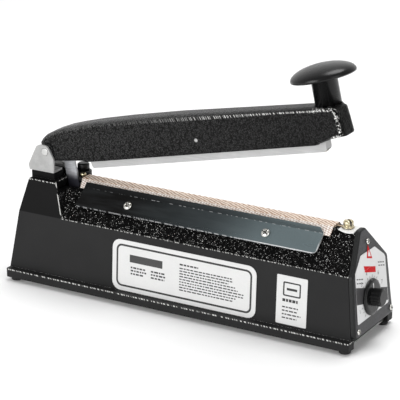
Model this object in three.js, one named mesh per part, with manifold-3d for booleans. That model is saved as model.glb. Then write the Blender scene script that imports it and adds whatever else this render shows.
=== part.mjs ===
// Impulse heat sealer, 200 mm seal. Units mm, +Z up, +X towards the timer end, viewer at -Y.
import * as THREE from 'three';
import Module from 'manifold-3d';
import { mergeVertices } from 'three/addons/utils/BufferGeometryUtils.js';

// ---- driving dimensions -------------------------------------------------------------
const FOOT_H = 3.2, FOOT_R = 4.5, FOOT_X = 144.2, FOOT_Y = 31.2;
const PLINTH_L = 300, PLINTH_W = 75.3, PLINTH_TOP = 10.0;
const WALL_Y = 31.8;                       // half width of the body where it meets the plinth
const KNEE_Y = 29.0, KNEE_Z = 57.2;        // smooth wall ends, rough slope begins
const RIDGE_Y = 4.5, RIDGE_Z = 83.0;       // flat top under the heating element
const LEFT_X = -149.9, LEFT_LEAN = 0.178;  // hinge end wall at the plinth, run per mm of height
const RIGHT_X = 148.9, RIGHT_LEAN = 0.097; // timer end likewise
const UPPER_LEAN = 0.262;                  // timer end above the knee
const SHELL = 3.3;                         // casting thickness
const TOWER_Z = 82.2, TOWER_Y = 20.5;      // pedestal under the hinge
const TOWER_KNEE_X = -101.5, TOWER_TOP_X = -111.5;
const PAD_X0 = -138.0, PAD_X1 = -116.9, PAD_Y = 15.0, PAD_Z = 87.2;
const SLOT_X0 = -128.0, SLOT_X1 = -102.6, SLOT_Y = 2.3;      // lever slot in the top
const SADDLE_X = -103.6, SADDLE_Y = 2.6, SADDLE_Z = 75.6;    // low seat beside the lever
const RIDGE_END_X = -98.2, RIDGE_CUT_Y = -1.5;               // near half of the ridge ends short
const PIVOT_X = -125.5, PIVOT_Z = 103.7, PIN_R = 3.0, OPEN_DEG = 12.8;
const EAR_X0 = -140.2, EAR_X1 = -117.5, EAR_TOP = 108.7, EAR_Y0 = 12.9, EAR_T = 1.8;
const BRACKET_SCREWS = [-134.0, -121.7], BRACKET_SCREW_Y = 8.5;
const ARM_W = 22.6, ARM_END = 257.8, ARM_LOW = -11.3, ARM_SHELL = 3.0;
const KNOB_X = 247.0, KNOB_SEAT = 15.2, STEM_R = 9.7, CAP_R = 24.3;
const BAR_X0 = 34.5, BAR_X1 = 241.0, BAR_Y = 4.2, BAR_LOW = -18.2, BAR_HIGH = -7.0, PAD_LOW = -18.55;
const ROCK_X = 137.4, ROCK_Z = -0.8, ROCK_R = 1.5;
const LEVER_X0 = 5.8, LEVER_X1 = 15.8, LEVER_T = 2.0, LEVER_TIP = -46.0, HOOK_X = 10.0, HOOK_Z = -42.0;
const CLOTH_T = 0.45, CLOTH_Z = 84.6, CLOTH_Y = 4.9, CLOTH_LOW = 78.2;
const CLAMP_X0 = -93.4, CLAMP_X1 = 115.0, CLAMP_T = 1.2, CLAMP_CREASE = 16.6, CLAMP_LIP = 4.6;
const CLAMP_SCREWS = [-48.1, 71.1];
const TERM_R_X = 129.7, TERM_L_X = -100.6, TERM_L_Y = 1.2;
const NOTCH_X = 131.8, NOTCH_R = 17.0, NOTCH_DEEP = 2.0;      // round seat across the ridge
const CAP_T = 3.9, CAP_TOP = 84.8, CAP_GAP = 0.3, CAP_ROUND = 2.2;
const DIAL_Z = 35.2, DIAL_Y = -4.0, SKIRT_R = 13.6, GRIP_R = 6.7, KNOB_H = 10.4, SHAFT_R = 3.0;
const PLUNGER_X = -105.5, PLUNGER_Y = 9.0, PLUNGER_R = 4.8, PLUNGER_TOP = 91.8, PLUNGER_SEAT = 83.3;
const PLUNGER_TRAVEL = 2.0;
const BASE_L = 292.4, BASE_W = 68.4;        // sheet base under the plinth
const INLET_X = 118, INLET_Z = 24;         // cable inlet in the far wall
const TAPPED_R = 1.6, CLEAR_R = 1.8;       // screw holes, threaded and plain
const BODY_SEGS = 28;

// ---- helpers ------------------------------------------------------------------------
const wasm = await Module();
wasm.setup();
const rad = (deg) => (deg * Math.PI) / 180;

function solid(geometry) {
  let g = geometry.clone();
  g.deleteAttribute('normal');
  g.deleteAttribute('uv');
  g = mergeVertices(g, 1e-4);
  const index = g.index ? g.index.array : [...Array(g.attributes.position.count).keys()];
  return new wasm.Manifold(new wasm.Mesh({
    numProp: 3,
    vertProperties: new Float32Array(g.attributes.position.array),
    triVerts: new Uint32Array(index),
  }));
}
function toGeometry(manifold) {
  const mesh = manifold.getMesh();
  const g = new THREE.BufferGeometry();
  g.setAttribute('position', new THREE.BufferAttribute(new Float32Array(mesh.vertProperties), 3));
  g.setIndex(new THREE.BufferAttribute(new Uint32Array(mesh.triVerts), 1));
  return g;
}
const cut = (base, ...tools) => tools.reduce((m, t) => m.subtract(t), base);
const join = (base, ...more) => more.reduce((m, t) => m.add(t), base);

function outline(points) {
  return new THREE.Shape(points.map(([a, b]) => new THREE.Vector2(a, b)));
}
function extrude(shape, depth, bevel) {
  const options = bevel ? { depth, bevelEnabled: true, ...bevel } : { depth, bevelEnabled: false };
  return new THREE.ExtrudeGeometry(shape, { curveSegments: 10, ...options });
}
// prisms: alongX takes (y,z) outlines, alongY takes (x,z), alongZ takes (x,y)
function alongX(points, x0, x1, bevel) {
  const inset = bevel ? bevel.bevelThickness : 0;
  const g = extrude(outline(points), x1 - x0 - 2 * inset, bevel);
  g.applyMatrix4(new THREE.Matrix4().set(0, 0, 1, x0 + inset, 1, 0, 0, 0, 0, 1, 0, 0, 0, 0, 0, 1));
  return solid(g);
}
function alongY(points, y0, y1, bevel) {
  const inset = bevel ? bevel.bevelThickness : 0;
  const g = extrude(outline(points), y1 - y0 - 2 * inset, bevel);
  g.applyMatrix4(new THREE.Matrix4().set(1, 0, 0, 0, 0, 0, -1, y1 - inset, 0, 1, 0, 0, 0, 0, 0, 1));
  return solid(g);
}
function alongZ(points, z0, z1) {
  const g = extrude(outline(points), z1 - z0);
  g.translate(0, 0, z0);
  return solid(g);
}
function box(x0, x1, y0, y1, z0, z1) {
  const g = new THREE.BoxGeometry(x1 - x0, y1 - y0, z1 - z0);
  g.translate((x0 + x1) / 2, (y0 + y1) / 2, (z0 + z1) / 2);
  return solid(g);
}
// turned solid: profile of [radius, height] from axis to axis, standing on +Z at (x, y, z)
function turned(profile, at = [0, 0, 0], axis = 'z', segments = BODY_SEGS) {
  const g = new THREE.LatheGeometry(profile.map(([r, h]) => new THREE.Vector2(r, h)), segments);
  g.rotateX(Math.PI / 2);
  if (axis === 'x') g.rotateY(Math.PI / 2);
  if (axis === 'y') g.rotateX(-Math.PI / 2);
  g.translate(...at);
  return solid(g);
}
function rod(r, h0, h1, at, axis, segments) {
  return turned([[0, h0], [r, h0], [r, h1], [0, h1]], at, axis, segments);
}
// a rectangle with rounded corners, centred
function roundRect(w, h, r, steps = 5) {
  const pts = [];
  const corners = [[1, 1, 0], [-1, 1, 90], [-1, -1, 180], [1, -1, 270]];
  for (const [sx, sy, start] of corners) {
    for (let i = 0; i <= steps; i++) {
      const a = rad(start + (90 * i) / steps);
      pts.push([sx * (w / 2 - r) + r * Math.cos(a), sy * (h / 2 - r) + r * Math.sin(a)]);
    }
  }
  return pts;
}
// round the corners of an outline: each point is [a, b, radius]
function filleted(points, steps = 4) {
  const out = [];
  points.forEach(([a, b, r = 0], i) => {
    if (!r) { out.push([a, b]); return; }
    const p = new THREE.Vector2(a, b);
    const prev = new THREE.Vector2(...points[(i + points.length - 1) % points.length]);
    const next = new THREE.Vector2(...points[(i + 1) % points.length]);
    const u = prev.sub(p).normalize(), v = next.sub(p).normalize();
    const half = Math.acos(Math.min(1, Math.max(-1, u.dot(v)))) / 2;
    const reach = r / Math.tan(half);
    const start = p.clone().addScaledVector(u, reach), end = p.clone().addScaledVector(v, reach);
    for (let k = 0; k <= steps; k++) {
      const t = k / steps;
      const q = start.clone().multiplyScalar((1 - t) ** 2)
        .addScaledVector(p, 2 * t * (1 - t)).addScaledVector(end, t * t);
      out.push([q.x, q.y]);
    }
  });
  return out;
}
const mirrored = (half) => [...half, ...half.slice().reverse().map(([y, z]) => [-y, z])];

// ---- finishes -----------------------------------------------------------------------
const finish = (color, roughness, metalness) => ({ color, roughness, metalness });
const SATIN_BLACK = finish(0x2b2b2c, 0.45, 0.1);
const ROUGH_BLACK = finish(0x161616, 0.4, 0.1);
const CAP_GREY = finish(0x3a3a3c, 0.5, 0.0);
const ZINC = finish(0xb9b9b6, 0.35, 0.9);
const STEEL = finish(0xc4c4c4, 0.3, 0.95);
const DARK_STEEL = finish(0x30343a, 0.2, 0.8);
const RUBBER = finish(0x151515, 0.85, 0.0);
const BLACK_PLASTIC = finish(0x121212, 0.35, 0.0);
const WHITE = finish(0xececea, 0.5, 0.0);
const TAN = finish(0xd0ab8c, 0.6, 0.0);
const BRASS = finish(0xb59b5a, 0.35, 0.9);
const COPPER = finish(0x9a4a20, 0.5, 0.6);
const GREEN = finish(0x2f6b3a, 0.6, 0.0);
const CREAM = finish(0xd9d3bd, 0.5, 0.0);

const model = new THREE.Group();
model.name = 'impulse_heat_sealer';
// the body is centred on the plinth; the timer knob sticks out beyond it, so shift to the middle
const FACE_X = RIGHT_X + CAP_GAP + CAP_T;
const LEAN = Math.atan(RIGHT_LEAN);
const GRIP_TIP_R = GRIP_R - 1.2;
const KNOB_TIP_X = FACE_X - RIGHT_LEAN * (DIAL_Z - PLINTH_TOP)
  + KNOB_H * Math.cos(LEAN) + GRIP_TIP_R * Math.sin(LEAN);
const SHIFT_X = -(KNOB_TIP_X - PLINTH_L / 2) / 2;

function node(name, manifold, { color, roughness, metalness }) {
  const geometry = toGeometry(manifold.translate([SHIFT_X, 0, 0]));
  geometry.computeVertexNormals();
  const material = new THREE.MeshStandardMaterial({ color, roughness, metalness });
  material.name = name;
  const mesh = new THREE.Mesh(geometry, material);
  mesh.name = name;
  model.add(mesh);
}
// arm frame (level, pivot at the origin) to the open rest pose
const onArm = (m) => m.rotate([0, -OPEN_DEG, 0]).translate([PIVOT_X, 0, PIVOT_Z]);
// timer end frame: x out of the face, z up along it, origin at the height of the knob axis
const faceX = (z) => FACE_X - RIGHT_LEAN * (z - PLINTH_TOP);
const onFace = (m) => m.rotate([0, -LEAN * 180 / Math.PI, 0]).translate([faceX(DIAL_Z), 0, DIAL_Z]);
const onDial = (m) => onFace(m.translate([0, DIAL_Y, 0]));
// the same for the part of the end above the knee, origin on the knee line
const UPPER = Math.atan(UPPER_LEAN);
const onUpper = (m) => m.rotate([0, -UPPER * 180 / Math.PI, 0]).translate([faceX(KNEE_Z), 0, KNEE_Z]);

const cosOpen = Math.cos(rad(OPEN_DEG)), sinOpen = Math.sin(rad(OPEN_DEG));
// the lever's hook hole at rest, [x, z]
const HOOK = [PIVOT_X + HOOK_X * cosOpen - HOOK_Z * sinOpen, PIVOT_Z + HOOK_X * sinOpen + HOOK_Z * cosOpen];
const ANCHOR_X = -60, ANCHOR_R = 1.5;

// the three end cap screws, placed on the two faces of the end
const CAP_SCREW_Y = 27.0, CAP_SCREW_Z = 16.0, TOP_SCREW_Y = 2.0, TOP_SCREW_Z = 74.6;
const CAP_SCREWS = [
  (m) => onUpper(m.translate([0, TOP_SCREW_Y, (TOP_SCREW_Z - KNEE_Z) / Math.cos(UPPER)])),
  (m) => onFace(m.translate([0, -CAP_SCREW_Y, CAP_SCREW_Z - DIAL_Z])),
  (m) => onFace(m.translate([0, CAP_SCREW_Y, CAP_SCREW_Z - DIAL_Z])),
];

// ---- housing ------------------------------------------------------------------------
const SLOPE = Math.atan2(RIDGE_Z - KNEE_Z, KNEE_Y - RIDGE_Y);
const leftWall = (z) => LEFT_X + LEFT_LEAN * (z - PLINTH_TOP);
const rightWall = (z) => RIGHT_X - RIGHT_LEAN * (Math.min(z, KNEE_Z) - PLINTH_TOP)
  - UPPER_LEAN * Math.max(0, z - KNEE_Z);
const HIGH = 120, LOW = 3;

function bodyBlock(profile, inset) {
  const open = inset ? 20 : 0;           // the hollow runs out through the timer end
  const side = [
    [leftWall(LOW) + inset, LOW], [rightWall(LOW) + open, LOW], [rightWall(KNEE_Z) + open, KNEE_Z],
    [rightWall(HIGH) + open, HIGH], [leftWall(HIGH) + inset, HIGH],
  ];
  return alongX(profile, -160, 170).intersect(alongY(side, -50, 50));
}
const outerProfile = mirrored([
  [-WALL_Y, PLINTH_TOP - 0.3], [-WALL_Y, PLINTH_TOP], [-KNEE_Y, KNEE_Z], [-RIDGE_Y, RIDGE_Z],
]);
const thin = SHELL / Math.cos(SLOPE);
const innerProfile = mirrored([
  [-(WALL_Y - SHELL), LOW], [-(WALL_Y - SHELL), PLINTH_TOP], [-(KNEE_Y - SHELL), KNEE_Z - 1.2],
  [-2.2, RIDGE_Z - thin + 0.5],
]);
const towerSide = [
  [leftWall(40), 40], [TOWER_KNEE_X, 40], [TOWER_KNEE_X, KNEE_Z], [TOWER_TOP_X, TOWER_Z],
  [leftWall(TOWER_Z), TOWER_Z],
];
const towerProfile = mirrored([[-KNEE_Y, 40], [-KNEE_Y, KNEE_Z], [-TOWER_Y, TOWER_Z]]);
const tower = alongX(towerProfile, -160, -90).intersect(alongY(towerSide, -40, 40));
const towerInnerSide = [
  [leftWall(44) + SHELL, 44], [TOWER_KNEE_X - 3.4, 44], [TOWER_KNEE_X - 3.4, KNEE_Z - 1],
  [TOWER_TOP_X - 3.4, TOWER_Z - SHELL], [leftWall(TOWER_Z) + SHELL, TOWER_Z - SHELL],
];
const towerInner = alongX(mirrored([[-(KNEE_Y - SHELL), 44], [-(KNEE_Y - SHELL), KNEE_Z - 1],
  [-(TOWER_Y - SHELL), TOWER_Z - SHELL]]), -160, -90).intersect(alongY(towerInnerSide, -40, 40));
const plinth = alongZ(filleted([
  [-PLINTH_L / 2, -PLINTH_W / 2, 1.6], [PLINTH_L / 2, -PLINTH_W / 2, 1.6],
  [PLINTH_L / 2, PLINTH_W / 2, 1.6], [-PLINTH_L / 2, PLINTH_W / 2, 1.6],
]), FOOT_H, PLINTH_TOP);
const boss = rod(6.5, 71.5, PLUNGER_SEAT, [PLUNGER_X, PLUNGER_Y, 0], 'z');

let housing = join(bodyBlock(outerProfile, 0), tower, plinth,
  box(PAD_X0, PAD_X1, -PAD_Y, PAD_Y, TOWER_Z - 1, PAD_Z));
housing = cut(housing, bodyBlock(innerProfile, SHELL), towerInner);
housing = join(housing, boss, box(ANCHOR_X - 4, ANCHOR_X + 4, 3, 6, HOOK[1] - 4, RIDGE_Z - 4));
housing = housing.subtract(rod(ANCHOR_R + 0.3, 0, 12, [ANCHOR_X, 0, HOOK[1]], 'y', 16));
housing = cut(housing,
  box(-BASE_L / 2 - 0.4, BASE_L / 2 + 0.4, -BASE_W / 2 - 0.4, BASE_W / 2 + 0.4, LOW, FOOT_H + 1.4),
  box(SLOT_X0, SLOT_X1, -SLOT_Y, SLOT_Y, 60, 100),                        // lever slot
  rod(PLUNGER_R + 0.3, PLUNGER_SEAT - 3.2, 90, [PLUNGER_X, PLUNGER_Y, 0], 'z'),
  rod(2.5, 40, 90, [PLUNGER_X, PLUNGER_Y, 0], 'z'),
  rod(NOTCH_R, -30, 30, [NOTCH_X, 0, RIDGE_Z - NOTCH_DEEP + NOTCH_R], 'y', 72),
  box(TERM_L_X - 3.1, TERM_L_X + 3.4, -5, TERM_L_Y + 4, RIDGE_Z - 3.0, RIDGE_Z + 1),
  box(SADDLE_X - 1, RIDGE_END_X, -20, RIDGE_CUT_Y, SADDLE_Z, RIDGE_Z + 1),
  box(TOWER_TOP_X - 2, SADDLE_X, -20, SADDLE_Y, SADDLE_Z, RIDGE_Z + 1),   // saddle beside the lever
  rod(5.2, 20, 40, [INLET_X, 0, INLET_Z], 'y'),
);
const bossFace = -CAP_T - CAP_GAP - 0.1, capBoss = rod(4.2, bossFace - 9, bossFace, [0, 0, 0], 'x', 20)
  .add(box(bossFace - 9, bossFace, -3, 3, 0, 7));
for (const place of CAP_SCREWS) {
  housing = join(housing, place(capBoss).intersect(bodyBlock(outerProfile, 0)));
}
for (const place of CAP_SCREWS) housing = housing.subtract(place(rod(1.7, -12, 9, [0, 0, 0], 'x', 16)));
for (const sx of [-1, 1]) {
  for (const sy of [-1, 1]) {
    housing = cut(housing, rod(TAPPED_R, LOW, FOOT_H + 5.4, [sx * FOOT_X, sy * FOOT_Y, 0], 'z', 16));
  }
}
const SLOPE_DEG = (SLOPE * 180) / Math.PI;
// slope frame: z out of the slope, s (=-y) down the slope from the ridge edge; side +1 near, -1 far
const onSlope = (m, side) => (side > 0
  ? m.rotate([SLOPE_DEG, 0, 0]).translate([0, -RIDGE_Y, RIDGE_Z])
  : m.mirror([0, 1, 0]).rotate([-SLOPE_DEG, 0, 0]).translate([0, RIDGE_Y, RIDGE_Z]));
const SCREW_S = 15.5;
for (const side of [1, -1]) {
  for (const x of CLAMP_SCREWS) {
    housing = cut(housing, onSlope(rod(TAPPED_R, -8, 2, [x, -SCREW_S, 0], 'z', 16), side));
  }
}
for (const x of BRACKET_SCREWS) {
  housing = cut(housing, rod(TAPPED_R, 76, 92, [x, BRACKET_SCREW_Y, 0], 'z', 16));
}
node('housing', housing, SATIN_BLACK);

// ---- base plate, feet ---------------------------------------------------------------
const CORE_X = 20, CORE_HOLE = 21;
let basePlate = alongZ(roundRect(BASE_L, BASE_W, 2), FOOT_H + 0.1, FOOT_H + 1.1);
const baseHole = (x, y) => rod(CLEAR_R, 0, 10, [x, y, 0], 'z', 16);
for (const sx of [-1, 1]) {
  for (const sy of [-1, 1]) basePlate = basePlate.subtract(baseHole(sx * FOOT_X, sy * FOOT_Y));
  basePlate = basePlate.subtract(baseHole(CORE_X + sx * CORE_HOLE, 0));
}
node('base_plate', basePlate, ZINC);
let n = 0;
for (const sx of [-1, 1]) {
  for (const sy of [-1, 1]) {
    n += 1;
    const at = [sx * FOOT_X, sy * FOOT_Y, 0];
    node(`foot_${n}`, turned([[3.3, 0], [FOOT_R - 0.5, 0], [FOOT_R, 0.6], [FOOT_R - 0.3, FOOT_H - 0.3],
      [1.8, FOOT_H - 0.3], [1.8, 2.1], [3.3, 2.1], [3.3, 0]], at, 'z', 24), RUBBER);
    node(`foot_screw_${n}`, turned([[0, 0.5], [2.6, 0.5], [2.9, 0.8], [2.9, 1.8], [1.4, 1.8],
      [1.4, 8.2], [0, 8.2]], at, 'z', 16), ZINC);
  }
}

// ---- end cap, dial, timer -----------------------------------------------------------
// a bevelled slab with the outline of the end, [y, z], seen from one of the two end frames
const capOutline = filleted([
  [-WALL_Y + 0.1, PLINTH_TOP + 0.8, 3.5], [WALL_Y - 0.1, PLINTH_TOP + 0.8, 3.5],
  [KNEE_Y - 0.2, KNEE_Z + 0.6, 6], [4.6, CAP_TOP, 5], [-4.6, CAP_TOP, 5], [-KNEE_Y + 0.2, KNEE_Z + 0.6, 6],
]);
const capUpperOutline = [
  [-WALL_Y - 8, -90], [WALL_Y + 8, -90], [WALL_Y + 8, 0],
  ...capOutline.filter(([, z]) => z > KNEE_Z - 2).map(([y, z]) => [y, (z - KNEE_Z) / Math.cos(UPPER)]),
  [-WALL_Y - 8, 0],
];
const roundOver = { bevelThickness: CAP_ROUND, bevelSize: CAP_ROUND, bevelOffset: -CAP_ROUND,
  bevelSegments: 4 };
const capLower = onFace(alongX(capOutline.map(([y, z]) => [y, (z - DIAL_Z) / Math.cos(LEAN)]), -30, 0,
  roundOver));
const capUpper = onUpper(alongX(capUpperOutline, -60, 0, roundOver));
const capBack = [0, KNEE_Z, CAP_TOP + 5].map((z) => [rightWall(z) + CAP_GAP, z]);
let cap = capLower.intersect(capUpper)
  .intersect(alongY([[200, CAP_TOP + 5], [200, 0], ...capBack], -50, 50));
cap = cut(cap, onDial(rod(4.8, -9, 9, [0, 0, 0], 'x')));
const capScrew = turned([[0, -9], [1.4, -9], [1.4, 0.15], [2.2, 0.15], [2.1, 1.0], [1.3, 1.6], [0, 1.8]],
  [0, 0, 0], 'x', 16);
const capHole = rod(1.7, -9, 9, [0, 0, 0], 'x', 16);
node('end_cap', cut(cap, ...CAP_SCREWS.map((place) => place(capHole))), CAP_GREY);
CAP_SCREWS.forEach((place, i) => node(`cap_screw_${i + 1}`, place(capScrew), ZINC));

const dialLower = filleted([
  [-27.6, 21.4, 1.5], [23.8, 21.4, 1.5], [22.9, KNEE_Z + 0.1], [-26.6, KNEE_Z + 0.1],
]).map(([y, z]) => [y, (z - DIAL_Z) / Math.cos(LEAN)]);
const dialUpper = filleted([
  [-26.6, KNEE_Z - 0.1], [22.9, KNEE_Z - 0.1], [22.0, 59.2, 1.5], [10.6, 68.2, 1.5],
  [-12.5, 68.6, 1.5], [-25.8, 59.2, 1.5],
]).map(([y, z]) => [y, (z - KNEE_Z) / Math.cos(UPPER)]);
const dialHole = rod(7.2, -9, 9, [0, DIAL_Y, 0], 'x');
node('dial_label', join(onFace(alongX(dialLower, 0.1, 0.45).subtract(dialHole)),
  onUpper(alongX(dialUpper, 0.1, 0.45))), WHITE);

const grip = [];
const FLUTES = 14;
for (let i = 0; i < FLUTES * 4; i++) {
  const a = (2 * Math.PI * i) / (FLUTES * 4);
  const r = GRIP_R - 0.45 * (1 - Math.cos(a * FLUTES)) / 2;
  grip.push([r * Math.cos(a), r * Math.sin(a)]);
}
const KNOB_BACK = 0.7;
let knob = turned([[0, KNOB_BACK], [SKIRT_R - 0.3, KNOB_BACK], [SKIRT_R, KNOB_BACK + 0.5],
  [SKIRT_R - 0.4, 2.2], [SKIRT_R - 3.0, 3.0], [0, 3.0]], [0, 0, 0], 'x', 48);
knob = join(knob, alongX(grip, 2.5, KNOB_H - 0.8),
  turned([[0, KNOB_H - 1], [GRIP_R - 0.6, KNOB_H - 1], [GRIP_TIP_R, KNOB_H], [0, KNOB_H]], [0, 0, 0], 'x'));
knob = cut(knob, rod(7.4, 0, 2.2, [0, 0, 0], 'x'), rod(SHAFT_R + 0.25, 2, KNOB_H - 1.2, [0, 0, 0], 'x'));
node('timer_knob', onDial(knob), BLACK_PLASTIC);
node('timer_shaft', onDial(rod(SHAFT_R, -14, KNOB_H - 1.6, [0, 0, 0], 'x')), ZINC);
const hexagon = (r) => [0, 1, 2, 3, 4, 5].map((k) => [r * Math.cos(rad(60 * k)), r * Math.sin(rad(60 * k))]);
node('timer_nut', onDial(alongX(hexagon(6.6), 0.5, 1.9).subtract(rod(4.7, -1, 4, [0, 0, 0], 'x'))), ZINC);
node('timer_potentiometer', onDial(turned([[SHAFT_R + 0.08, -16], [12, -16], [12, -CAP_T - 0.4],
  [4.5, -CAP_T - 0.4], [4.5, 2.0], [SHAFT_R + 0.08, 2.0], [SHAFT_R + 0.08, -16]], [0, 0, 0], 'x')), ZINC);
node('timer_board', onDial(box(-18, -16.4, -19, 19, -22, 19)), GREEN);

// ---- transformer --------------------------------------------------------------------
const CORE_Z = FOOT_H + 1.7;
let core = box(CORE_X - 25, CORE_X + 25, -15, 15, CORE_Z, CORE_Z + 42);
core = cut(core, box(CORE_X - 17, CORE_X - 9, -20, 20, CORE_Z + 8, CORE_Z + 34),
  box(CORE_X + 9, CORE_X + 17, -20, 20, CORE_Z + 8, CORE_Z + 34));
for (const s of [-1, 1]) {
  core = core.subtract(rod(CLEAR_R, 0, CORE_Z + 10, [CORE_X + s * CORE_HOLE, 0, 0], 'z', 16));
}
node('transformer_core', core, DARK_STEEL);
node('transformer_coil', box(CORE_X - 16.7, CORE_X + 16.7, -22, 22, CORE_Z + 8.5, CORE_Z + 33.5)
  .subtract(box(CORE_X - 9.3, CORE_X + 9.3, -15.3, 15.3, CORE_Z, CORE_Z + 42)), COPPER);
[-1, 1].forEach((s, i) => {
  node(`transformer_screw_${i + 1}`, turned([[0, 1.4], [2.9, 1.4], [2.9, 3.0], [1.5, 3.0],
    [1.5, CORE_Z + 9.4], [0, CORE_Z + 9.4]], [CORE_X + s * CORE_HOLE, 0, 0], 'z', 16), ZINC);
});

// ---- start switch -------------------------------------------------------------------
const plungerAt = [PLUNGER_X, PLUNGER_Y, 0];
const COLLAR_R = 6.6, PLUNGER_FIT = 0.08;
const collarBore = PLUNGER_R + PLUNGER_FIT, collarLow = PLUNGER_SEAT + 0.3, collarTop = PLUNGER_SEAT + 2.6;
node('switch_collar', turned([
  [collarBore, collarLow], [COLLAR_R, collarLow], [COLLAR_R, collarTop - 0.8], [COLLAR_R - 1, collarTop],
  [collarBore, collarTop], [collarBore, collarLow],
], plungerAt, 'z'), BLACK_PLASTIC);
node('switch_plunger', turned([
  [0, 58], [2.42, 58], [2.42, PLUNGER_SEAT + 0.7], [PLUNGER_R, PLUNGER_SEAT + 0.7],
  [PLUNGER_R, PLUNGER_TOP - 1.2], [PLUNGER_R - 1.2, PLUNGER_TOP], [0, PLUNGER_TOP],
], plungerAt, 'z'), BLACK_PLASTIC);
node('switch_body', box(PLUNGER_X - 9, PLUNGER_X + 9, PLUNGER_Y - 5.5, PLUNGER_Y + 5.5, 40, 55.6)
  .add(rod(4.4, 50, 56.6, plungerAt, 'z'))
  .subtract(rod(2.7, 49, 60, plungerAt, 'z')), BLACK_PLASTIC);

// ---- hinge --------------------------------------------------------------------------
const EAR_BOTTOM = PAD_Z + 0.3;
const ear = filleted([
  [EAR_X0, EAR_BOTTOM], [EAR_X1, EAR_BOTTOM], [EAR_X1, 98.4, 5], [-123.4, EAR_TOP, 5],
  [-132.8, EAR_TOP, 5.5], [EAR_X0 - 0.9, 91.4, 4],
], 6);
let bracket = join(alongY(ear, -EAR_Y0 - EAR_T, -EAR_Y0), alongY(ear, EAR_Y0, EAR_Y0 + EAR_T),
  box(EAR_X0, EAR_X1, -EAR_Y0 - 0.5, EAR_Y0 + 0.5, EAR_BOTTOM, EAR_BOTTOM + EAR_T));
bracket = cut(bracket, rod(PIN_R + 0.05, -20, 20, [PIVOT_X, 0, PIVOT_Z], 'y'),
  box(SLOT_X0, -100, -SLOT_Y - 0.8, SLOT_Y + 0.8, 80, 95));
for (const x of BRACKET_SCREWS) {
  bracket = bracket.subtract(rod(CLEAR_R, 80, 95, [x, BRACKET_SCREW_Y, 0], 'z', 16));
}
node('hinge_bracket', bracket, ZINC);
BRACKET_SCREWS.forEach((x, i) => {
  const top = EAR_BOTTOM + EAR_T + 0.3;
  node(`bracket_screw_${i + 1}`, turned([[0, 78], [1.4, 78], [1.4, top], [2.8, top], [2.8, top + 0.9],
    [1.6, top + 1.5], [0, top + 1.6]], [x, BRACKET_SCREW_Y, 0], 'z', 16), ZINC);
});
const PIN_END = EAR_Y0 + EAR_T + 0.5;
node('hinge_pin', turned([[0, -PIN_END], [PIN_R - 0.5, -PIN_END], [PIN_R, -PIN_END + 0.5],
  [PIN_R, PIN_END - 0.5], [PIN_R - 0.5, PIN_END], [0, PIN_END]], [PIVOT_X, 0, PIVOT_Z], 'y'), STEEL);

// ---- arm ----------------------------------------------------------------------------
// [x, z] of the top line, hinge end to knob end, in the arm frame
const ARM_TOP = [
  [-7.6, 3], [-6.4, 7.4], [-3.4, 10.4], [0, 12.3], [8, 14.7], [18, 16.5], [30, 17.6], [48, 18.6],
  [76, 19.2], [120, 19.1], [160, 18.3], [215, 16.6], [244, 15.8], [254, 15.1], [257.4, 12.6],
];
const armSide = [
  ...ARM_TOP, [ARM_END + 0.6, 5.2], [ARM_END + 1.8, -7.2], [250, -8.6], [244.4, -9.9],
  [239, ARM_LOW], [236, ARM_LOW - 4], [36, ARM_LOW - 4], [30, ARM_LOW], [12, -10.2], [0, -9.2],
  [-5.2, -6], [-7.6, -1],
];
const crown = { bevelThickness: 7, bevelSize: 3.3, bevelOffset: -3.3, bevelSegments: 5 };
const armPlan = filleted([[-8, -ARM_W / 2, 9], [ARM_END + 2, -ARM_W / 2, 3.5],
  [ARM_END + 2, ARM_W / 2, 3.5], [-8, ARM_W / 2, 9]], 6);
let arm = alongY(armSide.slice().reverse(), -ARM_W / 2, ARM_W / 2, crown);
arm = arm.intersect(alongZ(armPlan, -30, 30)).intersect(box(-20, 280, -20, 20, ARM_LOW, 40));
arm = arm.add(rod(STEM_R + 0.8, 10, KNOB_SEAT, [KNOB_X, 0, 0], 'z', 40));
const armHollow = [...ARM_TOP.slice(3, -2).map(([x, z]) => [x, z - ARM_SHELL - 0.8]),
  [ARM_END - 3.6, 10.8], [ARM_END - 2.6, -20], [-4.6, -20], [-5.0, 3]];
arm = arm.subtract(alongY(armHollow.slice().reverse(), -ARM_W / 2 + ARM_SHELL, ARM_W / 2 - ARM_SHELL));
arm = join(arm, rod(6.2, 3.2, EAR_Y0 - 0.4, [0, 0, 0], 'y'), rod(6.2, 0.4 - EAR_Y0, -3.2, [0, 0, 0], 'y'));
const strikerX = PLUNGER_X - PIVOT_X, strikerZ = PLUNGER_TOP - PLUNGER_TRAVEL + 0.3 - PIVOT_Z;
arm = arm.add(rod(3.4, strikerZ, 12, [strikerX, PLUNGER_Y, 0], 'z', 20)
  .intersect(box(0, 60, -ARM_W / 2, ARM_W / 2, -20, 20)));
arm = cut(arm, rod(STEM_R + 0.8, KNOB_SEAT, 30, [KNOB_X, 0, 0], 'z', 40),
  rod(PIN_R + 0.08, -20, 20, [0, 0, 0], 'y'), rod(ROCK_R + 0.05, -20, 20, [ROCK_X, 0, ROCK_Z], 'y', 20),
  rod(2.8, 0, 30, [KNOB_X, 0, 0], 'z', 20), rod(1.6, 5, 11.9, [10, 4.6, 0], 'z', 16));
node('arm', onArm(arm), ROUGH_BLACK);

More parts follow.
